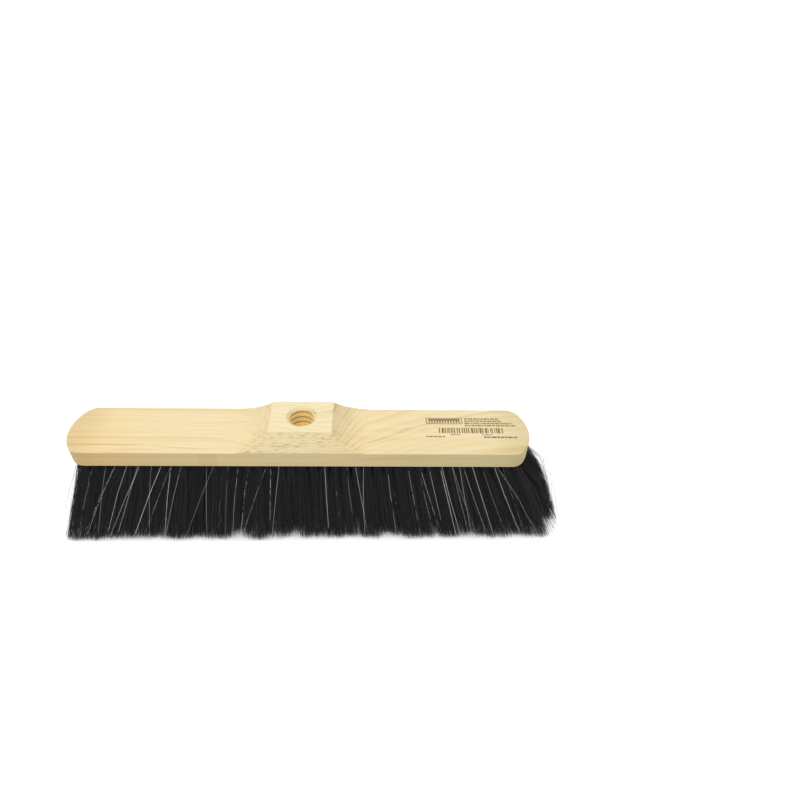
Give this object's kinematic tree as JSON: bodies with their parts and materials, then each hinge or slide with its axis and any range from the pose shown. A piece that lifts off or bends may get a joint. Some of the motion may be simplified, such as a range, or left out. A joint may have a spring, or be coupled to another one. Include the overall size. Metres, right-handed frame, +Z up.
{
  "type": "push broom head",
  "caption": "Push broom head: a one-piece beech stock with a raised threaded handle socket and fanned rows of black horsehair tufts.",
  "frame": {"origin": "on the floor under the middle of the head, in the plane of the trimmed hair tips", "axes": "+X along the head, +Y from its front to its rear, +Z up out of the handle socket"},
  "size_m": [0.579, 0.1086, 0.142],
  "materials": {
    "beech": "matte",
    "dark_hair": "satin",
    "pale_hair": "satin",
    "stamp_ink": "matte",
    "anchor_wire": "satin"
  },
  "bodies": {
    "root": {"wooden_stock": "beech", "tufts_front_outer_left": "dark_hair", "tufts_front_outer_centre": "dark_hair", "tufts_front_outer_right": "dark_hair", "tufts_front_middle_left": "dark_hair", "tufts_front_middle_centre": "dark_hair", "tufts_front_middle_right": "dark_hair", "tufts_front_inner_left": "dark_hair", "tufts_front_inner_centre": "dark_hair", "tufts_front_inner_right": "dark_hair", "tufts_rear_outer_left": "dark_hair", "tufts_rear_outer_centre": "dark_hair", "tufts_rear_outer_right": "dark_hair", "tufts_rear_middle_left": "dark_hair", "tufts_rear_middle_centre": "dark_hair", "tufts_rear_middle_right": "dark_hair", "tufts_rear_inner_left": "dark_hair", "tufts_rear_inner_centre": "dark_hair", "tufts_rear_inner_right": "dark_hair", "anchors_front_outer_row": "anchor_wire", "anchors_front_middle_row": "anchor_wire", "anchors_front_inner_row": "anchor_wire", "anchors_rear_outer_row": "anchor_wire", "anchors_rear_middle_row": "anchor_wire", "anchors_rear_inner_row": "anchor_wire"}
  },
  "joints": []
}
